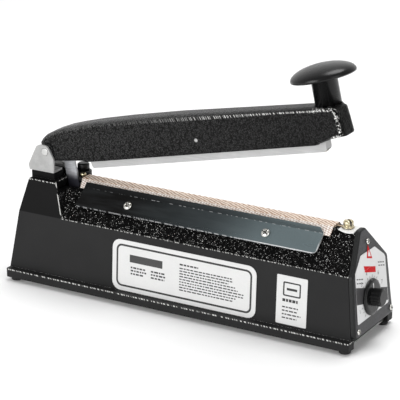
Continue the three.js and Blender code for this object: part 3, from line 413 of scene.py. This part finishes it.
def glass_cloth():
    """PTFE-coated glass cloth: a steep twill on the flat top, threads down the two sides."""
    m = Mat("ptfe_glass_cloth")
    x, y, _ = m.axes()
    side = m.size(y)
    top = m.step(side, 5.6 * MM, 5.0 * MM)
    across = m.blend(top, m.add(m.mul(side, -4.76), 13.6 * MM), m.mul(y, 1.75))
    wobble = m.mul(m.sub(m.noise(130, 3), 0.5), 6 * MM)
    rib, thread = m.wave(m.add(x, across, wobble), 5.3 * MM), m.wave(x, 2.3 * MM)
    weave = m.add(m.mul(rib, m.blend(top, 0.4, 0.55)), m.mul(thread, m.blend(top, 0.22, 0.06)))
    stain, fine = m.noise(55, 4, 0.6), m.noise(600, 3, 0.6)
    tone = m.add(weave, 0.55, m.mul(m.sub(stain, 0.5), 0.7))
    tone = m.math("ADD", tone, m.mul(m.sub(fine, 0.5), 1.6), clamp=True)
    tan = m.mix(tone, (0.40, 0.215, 0.12), (0.95, 0.82, 0.70))
    pale = m.mix(tone, (0.44, 0.31, 0.24), (0.95, 0.91, 0.87))
    return m.finish(m.mix(top, pale, tan), m.remap(stain, 0.3, 0.7, 0.36, 0.5),
                    m.bump(m.add(m.mul(weave, 0.4), 0.5), 0.6, 0.25))


def cap_plastic():
    """Dark grey moulding, with painted shade making it almost black round its rolled edge."""
    m = Mat("dark_grey_plastic", specular=0.3)
    nx = m.facing()[0]
    fine, wide = m.noise(1300, 4, 0.65), m.noise(120, 3)
    face = m.tint(m.blend(0.35, fine, wide), (0.026, 0.026, 0.028), (0.072, 0.072, 0.076), 0.4, 0.6)
    # painted shade: round the rolled edge the colour falls to nearly black
    edge = m.tint(fine, (0.006, 0.0063, 0.0063), (0.012, 0.013, 0.013), 0.4, 0.6)
    return m.finish(m.mix(m.step(nx, 0.80, 0.93), edge, face), m.remap(wide, 0.3, 0.7, 0.4, 0.55),
                    m.bump(fine, 0.5, 0.3))


BLACK_GLOSS = grained("black_gloss_plastic", (0.003, 0.003, 0.0032), (0.006, 0.006, 0.0062), 0.26,
                      900, 0.12, specular=0.3)
BLACK_MATT = grained("black_matt_plastic", grey(0.008), grey(0.016), 0.5, 1400, 0.3)
RUBBER = grained("black_rubber", grey(0.008), grey(0.02), 0.75, 1200, 0.5)
ZINC = brushed("zinc_plate", (0.5, 0.5, 0.49), (0.66, 0.66, 0.65), 0.34, (300, 300, 40), 0.85)
BRIGHT = brushed("screw_steel", (0.62, 0.61, 0.57), (0.82, 0.81, 0.77), 0.22, (500, 500, 500))
BRASS = brushed("brass", (0.55, 0.47, 0.29), (0.78, 0.7, 0.5), 0.24, (500, 500, 500))
STEEL = brushed("bright_steel", grey(0.6), grey(0.74), 0.3, (40, 700, 700))
PLATE = polished_plate()
WHITE_LABEL = grained("white_label", (0.69, 0.69, 0.685), (0.73, 0.73, 0.725), 0.5, 900, 0.05,
                      specular=0.25)
# painted shade for the sunk faces of screw recesses
RECESS_SHADE = grained("recess_shade", (0.012, 0.011, 0.008), (0.06, 0.055, 0.04), 0.5, 900, 0.4)

looks = {
    "housing": wall_paint(), "arm": hammered_paint(), "end_cap": cap_plastic(),
    "handle_knob": BLACK_GLOSS, "timer_knob": BLACK_GLOSS, "switch_collar": BLACK_GLOSS,
    "switch_plunger": BLACK_GLOSS, "switch_body": BLACK_MATT, "insulator_left": BLACK_MATT,
    "foot_1": RUBBER, "foot_2": RUBBER, "foot_3": RUBBER, "foot_4": RUBBER,
    "cable_grommet": RUBBER, "return_lever": lever_zinc(), "return_spring": STEEL,
    "clamp_plate_near": PLATE, "clamp_plate_far": PLATE,
    "rating_label": WHITE_LABEL, "approval_sticker": WHITE_LABEL,
    "dial_label": grained("grey_white_card", grey(0.68), grey(0.74), 0.5, 900, 0.1),
    "hinge_bracket": brushed("bracket_zinc", (0.34, 0.34, 0.335), (0.46, 0.46, 0.455), 0.45,
                             (200, 300, 200), 0.3),
    "pressure_bar": brushed("bar_steel", grey(0.38), grey(0.50), 0.42, (8, 700, 700), 0.55),
    "bar_pin": grained("bright_pin", (0.75, 0.75, 0.74), (0.88, 0.88, 0.87), 0.4, 900, 0.1),
    "silicone_pad": grained("silicone_rubber", (0.62, 0.6, 0.52), (0.74, 0.72, 0.65), 0.55,
                            800, 0.2),
    "heating_element": brushed("heating_alloy", (0.30, 0.2, 0.12), (0.5, 0.38, 0.26), 0.35,
                               (8, 900, 900)),
    "insulating_tape": grained("glass_tape", (0.55, 0.42, 0.3), (0.68, 0.55, 0.42), 0.6,
                               1300, 0.4),
    "transformer_core": brushed("core_iron", (0.05, 0.055, 0.06), (0.1, 0.105, 0.11), 0.4,
                                (10, 10, 2600), 0.7),
    "transformer_coil": brushed("copper_coil", (0.35, 0.12, 0.04), (0.55, 0.2, 0.07), 0.4,
                                (20, 20, 2400), 0.3),
    "timer_board": grained("circuit_board", (0.015, 0.09, 0.03), (0.03, 0.14, 0.05), 0.4,
                           500, 0.2),
    "insulator_right": grained("white_insulator", (0.78, 0.78, 0.76), (0.84, 0.84, 0.82), 0.35,
                               700, 0.08),
}
for name, o in nodes.items():
    o.data.materials.clear()
    o.data.materials.append(looks.get(name, ZINC))
    for p in o.data.polygons:
        p.material_index = 0


# ---- edges of the CAD pieces -----------------------------------------------------------
WELD = 0.01                                     # millimetres
FLAT, CORNER, CREASE = (math.radians(a) for a in (0.8, 28, 32))
BEVELS = {"housing": 0.7, "end_cap": 0.3, "hinge_bracket": 0.35, "pressure_bar": 0.4,
          "clamp_plate_near": 0.25, "clamp_plate_far": 0.25, "return_lever": 0.3,
          "base_plate": 0.2, "insulator_right": 0.25}      # widths in millimetres


def auto_smooth(o, angle):
    bpy.context.view_layer.objects.active = o
    o.select_set(True)
    bpy.ops.object.shade_auto_smooth(angle=angle)
    o.select_set(False)


def soften(o, width):
    """Weld, merge coplanar faces, round the corners and shade them evenly."""
    o.modifiers.new("weld", "WELD").merge_threshold = WELD * MM
    flat = o.modifiers.new("flat", "DECIMATE")
    flat.decimate_type = "DISSOLVE"
    flat.angle_limit = FLAT
    if width:
        bevel = o.modifiers.new("bevel", "BEVEL")
        bevel.width = width * MM
        bevel.segments = 2
        bevel.limit_method = "ANGLE"
        bevel.angle_limit = CORNER
        bevel.use_clamp_overlap = True
    for p in o.data.polygons:
        p.use_smooth = True
    auto_smooth(o, CREASE)
    o.modifiers[-1].use_pin_to_last = False
    o.modifiers.new("even", "WEIGHTED_NORMAL").keep_sharp = True


for name, o in nodes.items():
    soften(o, BEVELS.get(name, 0))


# ---- shapes of new pieces: vertices and faces in local millimetres ---------------------
def make(name, verts, faces, matrix, body, material, smooth=False):
    """A mesh piece, its place baked into its vertices."""
    mesh = bpy.data.meshes.new(name)
    mesh.from_pydata([matrix @ Vector(v) for v in verts], [], faces)
    mesh.validate()
    b = bmesh.new()
    b.from_mesh(mesh)
    bmesh.ops.recalc_face_normals(b, faces=b.faces)
    b.to_mesh(mesh)
    b.free()
    mesh.materials.append(material)
    for p in mesh.polygons:
        p.use_smooth = smooth
    o = bpy.data.objects.new(name, mesh)
    bpy.context.scene.collection.objects.link(o)
    if smooth:
        auto_smooth(o, math.radians(35))
    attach(o, body)
    return o


def slab(outline, low, high):
    """Closed prism of an outline [x, y] between two heights."""
    n = len(outline)
    verts = [(x, y, low) for x, y in outline] + [(x, y, high) for x, y in outline]
    faces = [tuple(range(n))[::-1], tuple(range(n, 2 * n))]
    faces += [(i, (i + 1) % n, n + (i + 1) % n, n + i) for i in range(n)]
    return verts, faces


def bar(x0, x1, y0, y1, low, high):
    return slab([(x0, y0), (x1, y0), (x1, y1), (x0, y1)], low, high)


def ring_slab(outer, inner, low, high):
    """Closed band between two outlines with as many points each."""
    n = len(outer)
    verts = [(x, y, z) for z in (low, high) for ring in (outer, inner) for x, y in ring]
    faces = []
    for i in range(n):
        j = (i + 1) % n
        faces += [(i, j, n + j, n + i)[::-1], (2 * n + i, 2 * n + j, 3 * n + j, 3 * n + i),
                  (i, j, 2 * n + j, 2 * n + i), (n + i, n + j, 3 * n + j, 3 * n + i)[::-1]]
    return verts, faces


def gather(parts):
    """Several (verts, faces) as one."""
    verts, faces = [], []
    for v, f in parts:
        base = len(verts)
        verts += v
        faces += [tuple(base + k for k in face) for face in f]
    return verts, faces


def round_rect(w, h, r, cy=0.0, steps=6):
    pts = []
    for sx, sy, start in ((1, 1, 0), (-1, 1, 90), (-1, -1, 180), (1, -1, 270)):
        for i in range(steps + 1):
            a = math.radians(start + 90 * i / steps)
            pts.append((sx * (w / 2 - r) + r * math.cos(a),
                        cy + sy * (h / 2 - r) + r * math.sin(a)))
    return pts


def lathe(profile, segments):
    """Closed turned solid about local z from [radius, height] points, axis to axis."""
    verts, rings = [], []
    for r, h in profile:
        if r == 0:
            rings.append([len(verts)])
            verts.append((0, 0, h))
        else:
            rings.append(list(range(len(verts), len(verts) + segments)))
            for k in range(segments):
                a = 2 * math.pi * k / segments
                verts.append((r * math.cos(a), r * math.sin(a), h))
    faces = []
    for a, b in zip(rings, rings[1:]):
        for k in range(segments):
            j = (k + 1) % segments
            if len(a) == 1:
                faces.append((a[0], b[k], b[j]))
            elif len(b) == 1:
                faces.append((a[k], b[0], a[j]))
            else:
                faces.append((a[k], b[k], b[j], a[j]))
    return verts, faces


# ---- screws ----------------------------------------------------------------------------
SCREW_SEGMENTS, HEAD_RINGS = 56, 24


def height_at(top, r):
    """Height of a head's crown at radius r."""
    for (r0, h0), (r1, h1) in zip(top, top[1:]):
        if r1 <= r <= r0:
            return h0 + (h1 - h0) * (r0 - r) / (r0 - r1)
    return top[-1][1]


def cross(arm, half):
    return lambda u, v: (abs(u) < half and abs(v) < arm) or (abs(v) < half and abs(u) < arm)


def slotted(half):
    return lambda u, v: abs(v) < half


def screw(node, matrix, material, shank, length, flange, top, recess, turn, depth=1.1):
    """Screw whose head carries a driver recess. flange and top are [radius, height] outlines of
    the head, from the seat out to the rim and back in to the crown; recess(x, y) is true inside
    the slot or cross, which is turned by so many degrees."""
    outside = [(0, -length), (shank, -length), (shank, flange[0][1]), *flange]
    radii = [top[0][0] * (1 - k / HEAD_RINGS) for k in range(1, HEAD_RINGS)]
    crown = [(r, height_at(top, r)) for r in (*radii, 0)]
    verts, faces = lathe([*outside, *crown], SCREW_SEGMENTS)
    a = math.radians(turn)
    sunk = set()
    for i in range(1 + SCREW_SEGMENTS * (len(outside) - 1), len(verts)):
        x, y, z = verts[i]
        if recess(x * math.cos(a) + y * math.sin(a), -x * math.sin(a) + y * math.cos(a)):
            verts[i] = (x, y, z - depth)
            sunk.add(i)
    piece = make(f"{node}_detailed", verts, faces, matrix, "base", material, smooth=True)
    # painted shade: the sunk faces of the recess take a dark material
    piece.data.materials.append(RECESS_SHADE)
    for p in piece.data.polygons:
        if sum(i in sunk for i in p.vertices) >= 2:
            p.material_index = 1
    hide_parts(node)


# clamp screws: domed heads
CLAMP_SCREWS_X, CLAMP_SCREWS_DOWN, HEAD_Z = (-48.1, 71.1), 15.5, 2.85
dome = [(3.5, 0.5), (3.3, 1.0), (2.7, 1.6), (1.8, 2.0), (0, 2.2)]
for label, side in (("near", -1), ("far", 1)):
    for i, x in enumerate(CLAMP_SCREWS_X):
        at = slope_frame(side) @ Matrix.Translation((-side * x, -CLAMP_SCREWS_DOWN, 0))
        screw(f"clamp_screw_{label}_{i + 1}", at, BRIGHT, 1.4, 5.0,
              [(1.4, HEAD_Z), (3.5, HEAD_Z)], [(r, HEAD_Z + h) for r, h in dome],
              cross(2.1, 0.45), 25 + 40 * i)

# end cap screws: one above the dial, two at its foot
TOP_SCREW_Y, TOP_SCREW_Z, FOOT_SCREWS_Y, FOOT_SCREWS_Z = 2.0, 74.6, 27.0, 16.0
low_head = [(2.2, 0.6), (2.05, 0.95), (1.6, 1.35), (0.9, 1.7), (0, 1.8)]
cap_screws = ((UPPER, TOP_SCREW_Y, (TOP_SCREW_Z - KNEE_Z) / math.cos(UPPER_LEAN)),
              (FACE, -FOOT_SCREWS_Y, FOOT_SCREWS_Z - DIAL_Z),
              (FACE, FOOT_SCREWS_Y, FOOT_SCREWS_Z - DIAL_Z))
for i, (where, u, v) in enumerate(cap_screws):
    screw(f"cap_screw_{i + 1}", where @ Matrix.Translation((u, v, 0)), BRIGHT,
          1.4, 9.0, [(1.4, 0.15), (2.2, 0.15)], low_head, cross(1.5, 0.42), 10 + 35 * i)

# terminal screws: slotted, the right one on a washer
washer = [(1.4, 0.8), (4.3, 0.8), (4.4, 1.2), (4.2, 1.6), (3.2, 1.8), (3.2, 2.5), (3.9, 2.7)]
screw("terminal_screw_right", upright(129.7), BRASS, 1.4, 1.4, washer,
      [(3.9, 4.8), (3.6, 5.4), (2.8, 6.0), (1.6, 6.3), (0, 6.4)], slotted(0.7), -35, 1.5)
screw("terminal_screw_left", upright(-100.6, 1.2), BRASS, 1.1, 2.0,
      [(1.1, 0.8), (2.4, 0.8)], [(2.4, 2.6), (2.1, 3.1), (1.4, 3.5), (0, 3.7)], slotted(0.4),
      30, 1.0)

# ---- printed things --------------------------------------------------------------------
INK = grained("black_ink", grey(0.012), grey(0.022), 0.4, 1200, 0.05)
GREY_INK = grained("grey_ink", grey(0.05), grey(0.09), 0.5, 1200, 0.05)
BAND = grained("band_ink", (0.045, 0.044, 0.046), (0.06, 0.059, 0.062), 0.4, 1200, 0.05,
               specular=0.2)
PRINT_INK = grained("print_ink", grey(0.03), grey(0.05), 0.45, 1200, 0.05)
RED_INK = grained("red_ink", (0.50, 0.004, 0.008), (0.62, 0.008, 0.012), 0.5, 1200, 0.05,
                  specular=0.1)
WHITE_INK = grained("white_ink", grey(0.7), grey(0.78), 0.45, 1200, 0.05)
PRINT = (0.01, 0.05)              # lower and upper side of the print over its label
rng = random.Random(7)


def over(top, print_heights=PRINT):
    """Lower and upper side of print on a label whose top is this high."""
    return tuple(top + h for h in print_heights)


def printed(name, shapes, matrix, material, body="base"):
    make(name, *gather(shapes), matrix, body, material)


def text_lines(x0, x1, y0, y1, rows, height, low, high, word=(1.2, 3.6), gap=0.7):
    """Rows of short dashes: they stand for print and spell nothing."""
    parts = []
    for r in range(rows):
        y = y1 - (y1 - y0) * (r + 0.5) / rows
        x = x0
        end = x1 - rng.uniform(0, (x1 - x0) * 0.25)
        while x < end:
            w = min(rng.uniform(*word), end - x)
            if w > 0.3:
                parts.append(bar(x, x + w, y - height / 2, y + height / 2, low, high))
            x += w + gap
    return parts


# rating label: a border, a plain block and dashes
plate = wall_frame(LABEL_X, LABEL_Z)
ink = over(LABEL_TOP)
border = ring_slab(round_rect(117.8, 33.8, 4.8), round_rect(114.8, 30.8, 3.5), *ink)
printed("rating_label_border", [border], plate, INK)
parts = [bar(-47, -18, 3.6, 9.6, *ink)]
for x0, x1, y0, y1, rows, height in ((-46, -32, -6.6, 0.8, 3, 1.3), (-28, -14, -6.6, 0.8, 3, 1.3),
                                     (-3, 14, 9.0, 11.2, 1, 1.3), (-3, 53, -11.0, 8.2, 9, 0.95)):
    parts += text_lines(x0, x1, y0, y1, rows, height, *ink)
printed("rating_label_print", parts, plate, PRINT_INK)

# sticker: a plain square sign and dashes
ink = over(STICKER_TOP)
parts = [ring_slab(round_rect(14.5, 11.0, 1.2, 8.6), round_rect(12.3, 8.8, 0.7, 8.6), *ink),
         bar(-4.2, 4.2, 7.7, 9.5, *ink)]
parts += text_lines(-7.5, 7.5, -1.8, 1.6, 1, 2.2, *ink, (1.6, 2.6), 0.6)
parts += text_lines(-7.5, 8.5, -15.0, -4.0, 4, 1.0, *ink)
printed("approval_sticker_print", parts, wall_frame(STICKER_X, LABEL_Z), INK)

# dial: figures and ticks round the knob, as far as the white card reaches
FIGURE_R, FIGURE_SIZE = 19.6, 4.6
TICK_R, TICK_ENDS, TICK_HALF = 14.4, (16.4, 15.6), 0.2
FIGURES_LOW, FIGURES_HIGH, TICKS_LOW = -13.2, 19, -13.4


def around(k, degrees):
    """Direction [x, y] of the k-th mark round the dial, clockwise from its lower left."""
    a = math.radians(-135 + degrees * k)
    return math.sin(a), math.cos(a)


def figures():
    made = []
    for k in range(10):
        u = around(k, 30)
        x, y = DIAL_Y + FIGURE_R * u[0], FIGURE_R * u[1]
        if not FIGURES_LOW < y < FIGURES_HIGH:
            continue
        curve = bpy.data.curves.new("figure", "FONT")
        curve.body = str(k)
        curve.size = FIGURE_SIZE
        curve.align_x, curve.align_y = "CENTER", "CENTER"
        o = bpy.data.objects.new("figure", curve)
        bpy.context.scene.collection.objects.link(o)
        bpy.context.view_layer.update()
        mesh = bpy.data.meshes.new_from_object(o)
        made.append(([(v.co.x + x, v.co.y + y, DIAL_TOP + 0.03) for v in mesh.vertices],
                     [tuple(p.vertices) for p in mesh.polygons]))
        bpy.data.objects.remove(o)
    return made


ticks = []
for k in range(19):
    u, end = around(k, 15), TICK_ENDS[k % 2]
    if u[1] * end >= TICKS_LOW:
        ticks.append(slab([(DIAL_Y + u[0] * p + u[1] * q, u[1] * p - u[0] * q)
                           for p, q in ((TICK_R, -TICK_HALF), (end, -TICK_HALF),
                                        (end, TICK_HALF), (TICK_R, TICK_HALF))], *over(DIAL_TOP)))
printed("dial_figures", ticks + figures(), FACE, GREY_INK)


def clip(points, sign):
    """The part of an outline [y, z] above (sign 1) or below (-1) the knee line."""
    out = []
    for (y0, z0), (y1, z1) in zip(points, points[1:] + points[:1]):
        a, b = sign * (z0 - KNEE_Z), sign * (z1 - KNEE_Z)
        if a >= 0:
            out.append((y0, z0))
        if a * b < 0:
            out.append((y0 + a / (a - b) * (y1 - y0), KNEE_Z))
    return out


def on_end(name, outlines, material, heights=PRINT):
    """Printed outlines [y, z in millimetres] laid on the two faces of the timer end."""
    for part, where, z0, lean, sign in (("lower", FACE, DIAL_Z, FACE_LEAN, -1),
                                        ("upper", UPPER, KNEE_Z, UPPER_LEAN, 1)):
        shapes = [[(y, (z - z0) / math.cos(lean)) for y, z in clip(o, sign)] for o in outlines]
        shapes = [slab(o, *over(DIAL_TOP, heights)) for o in shapes if len(o) > 2]
        if shapes:
            printed(f"{name}_{part}", shapes, where, material)


# a dark band across the dial, a plain red block and triangle, dashes for the small print
on_end("dial_band", [[(-26.8, 49.4), (-27.2, 36.6), (23.2, 23.4), (23.0, 33.4)]], BAND,
       (0.06, 0.09))
on_end("dial_block", [[(-11.5, 60.6), (6.0, 55.1), (6.0, 50.6), (-11.5, 56.1)]], RED_INK)
outer, inner = ((-4.6, 64.4), (1.0, 72.6), (3.4, 61.8)), ((-2.2, 65.0), (0.9, 69.6), (2.1, 63.6))
sides = [[outer[i - 1], outer[i], inner[i], inner[i - 1]] for i in (1, 2, 0)]
on_end("dial_triangle", sides, RED_INK)
small = []
for y0, z0 in ((10.5, 57.2), (11.0, 54.6), (-25.0, 55.6), (-25.0, 52.6)):
    for k in range(3):
        y, z = y0 + 3.6 * k, z0 - 0.3 * 3.6 * k
        small.append([(y, z), (y + 2.6, z - 0.8), (y + 2.6, z - 1.7), (y, z - 0.9)])
on_end("dial_print", small, GREY_INK)

# the mark on the knob: across the grip's foot and over the skirt
MARK_HALF, STEP_R = 0.6, SKIRT_R - 3.0
x0, x1 = DIAL_Y - MARK_HALF, DIAL_Y + MARK_HALF
printed("timer_pointer", [bar(x0, x1, GRIP_R + 0.3, STEP_R - 0.1, 3.0, 3.05),
                          bar(x0, x1, STEP_R, SKIRT_R - 0.5, 2.2, 2.28)],
        FACE, WHITE_INK, "timer")

# ---- seal cloth ------------------------------------------------------------------------
CLOTH_X0, CLOTH_X1 = -97.3, 120.3
CLOTH_Z, CLOTH_LOW = 84.6, 78.4          # its top, and where it goes under the clamp plates
CLOTH_Y, CLOTH_T = 4.9, 0.3
CLOTH_COLUMNS, CLOTH_ROWS = 260, 36


def cloth_point(u, t):
    """Point and outward direction at a share u of the length and a distance t from the ridge."""
    side, d = (1 if t > 0 else -1), max(0.0, abs(t) - CLOTH_Y)
    y = side * (min(abs(t), CLOTH_Y) + d * math.cos(SLOPE))
    z = CLOTH_Z - d * math.sin(SLOPE)
    edge = 0.35 * math.sin(5.1 * t) + 0.25 * math.sin(2.3 * t + 1.0)
    x0, x1 = CLOTH_X0 + 0.18 * d + edge * 0.3, CLOTH_X1 + edge
    x = x0 + (x1 - x0) * u + SHIFT
    wave = 0.03 * math.sin(x * 0.31 + t * 0.4) + 0.02 * math.sin(x * 0.83 - t * 0.9 + 2.0) - 0.03
    n = (0.0, 0.0, 1.0) if d == 0 else (0.0, side * math.sin(SLOPE), math.cos(SLOPE))
    return (x, y + n[1] * wave, z + n[2] * wave), n


def cloth():
    """The cloth over the seal line, its two edges running under the clamp plates."""
    half = CLOTH_Y + (CLOTH_Z - CLOTH_LOW) / math.sin(SLOPE)
    nx, ny = CLOTH_COLUMNS, CLOTH_ROWS
    grid = [cloth_point(i / nx, -half + 2 * half * j / ny)
            for i in range(nx + 1) for j in range(ny + 1)]
    verts = [p for p, n in grid]
    verts += [(x, y - n[1] * CLOTH_T, z - n[2] * CLOTH_T) for (x, y, z), n in grid]
    w, total = ny + 1, len(grid)
    faces = []
    for i in range(nx):
        for j in range(ny):
            a, b, c, d = i * w + j, i * w + j + 1, (i + 1) * w + j + 1, (i + 1) * w + j
            faces += [(a, d, c, b), (total + a, total + b, total + c, total + d)]
    loop = list(range(ny)) + [i * w + ny for i in range(nx)]
    loop += [nx * w + j for j in range(ny, 0, -1)] + [i * w for i in range(nx, 0, -1)]
    for a, b in zip(loop, loop[1:] + loop[:1]):
        faces.append((a, b, total + b, total + a))
    piece = make("seal_cloth", verts, faces, ROW, "base", glass_cloth(), smooth=True)
    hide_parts("ptfe_cloth")


cloth()

# ---- studio ----------------------------------------------------------------------------
FLOOR_HALF = 6
LIGHTS = (("key", (-0.5, -1.95, 0.55), 1.3, 22), ("fill", (1.9, -0.7, 0.7), 1.2, 6),
          ("top", (0.2, 0.5, 2.0), 1.3, 25))       # name, place, size in metres, watts


def sky():
    """White, brighter behind and at the hinge end, like a white sweep lit from there."""
    world = bpy.data.worlds.new("studio")
    bpy.context.scene.world = world
    world.use_nodes = True
    tree = world.node_tree
    background = tree.nodes["Background"]
    background.inputs["Color"].default_value = (1, 1, 1, 1)
    way = tree.nodes.new("ShaderNodeVectorMath")
    way.operation = "DOT_PRODUCT"
    way.inputs[1].default_value = (-0.7, 0.7, 0)
    tree.links.new(tree.nodes.new("ShaderNodeTexCoord").outputs["Generated"], way.inputs[0])
    ramp = tree.nodes.new("ShaderNodeMapRange")
    for key, value in (("From Min", -0.1), ("From Max", 0.8), ("To Min", 0.42), ("To Max", 0.95)):
        ramp.inputs[key].default_value = value
    tree.links.new(way.outputs["Value"], ramp.inputs["Value"])
    tree.links.new(ramp.outputs["Result"], background.inputs["Strength"])


def floor():
    mesh = bpy.data.meshes.new("floor")
    corners = ((-1, -1), (1, -1), (1, 1), (-1, 1))
    mesh.from_pydata([(x * FLOOR_HALF, y * FLOOR_HALF, 0) for x, y in corners], [], [(0, 1, 2, 3)])
    mesh.materials.append(grained("pale_floor", grey(0.97), grey(0.97), 0.9, 60, 0.0))
    o = bpy.data.objects.new("floor", mesh)
    bpy.context.scene.collection.objects.link(o)


def lights():
    for name, place, size, power in LIGHTS:
        light = bpy.data.lights.new(name, "AREA")
        light.shape, light.size, light.energy = "DISK", size, power
        o = bpy.data.objects.new(name, light)
        bpy.context.scene.collection.objects.link(o)
        o.location = place
        o.rotation_mode = "QUATERNION"
        to_part = Vector((0, 0, 70 * MM)) - Vector(place)
        o.rotation_quaternion = to_part.to_track_quat("-Z", "Y")


sky()
floor()
lights()
bpy.context.scene.view_settings.view_transform = "Standard"
